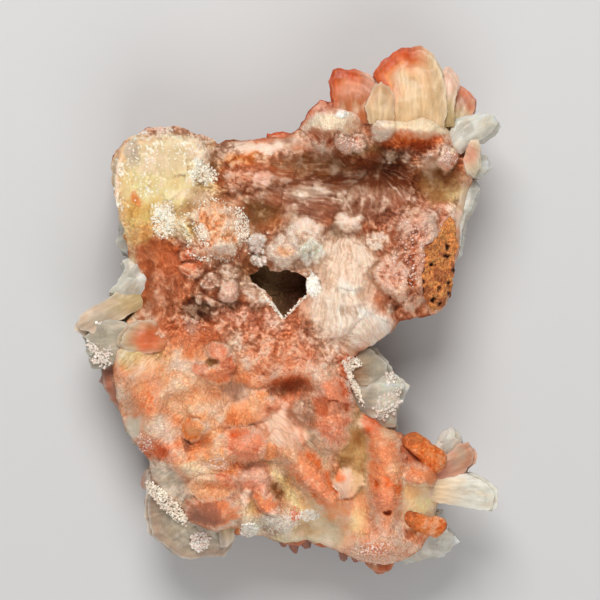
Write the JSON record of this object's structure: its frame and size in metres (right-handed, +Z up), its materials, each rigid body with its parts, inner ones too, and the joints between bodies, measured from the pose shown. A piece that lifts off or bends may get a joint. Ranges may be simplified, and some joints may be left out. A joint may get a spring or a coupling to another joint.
{
  "type": "stilbite cluster",
  "caption": "Cabinet specimen of intergrown stilbite, crystal tips down: rough salmon and orange root face with a pocket, fans of pale blades round the rim and a scab of spongy matrix.",
  "frame": {"origin": "on the surface it lies on, under the middle of its outline", "axes": "+Z up, out of the broken root face that the picture shows; +Y the picture's up, towards the crown of fans, the longest way; +X the picture's right"},
  "size_m": [0.087, 0.1074, 0.0327],
  "materials": {
    "stilbite": "silky to pearly, translucent, salmon to orange with cream and red tips",
    "matrix": "dull, spongy, rust brown with black pits"
  },
  "bodies": {
    "root": {"stilbite_cluster": "stilbite", "matrix_remnant": "matrix"}
  },
  "joints": []
}
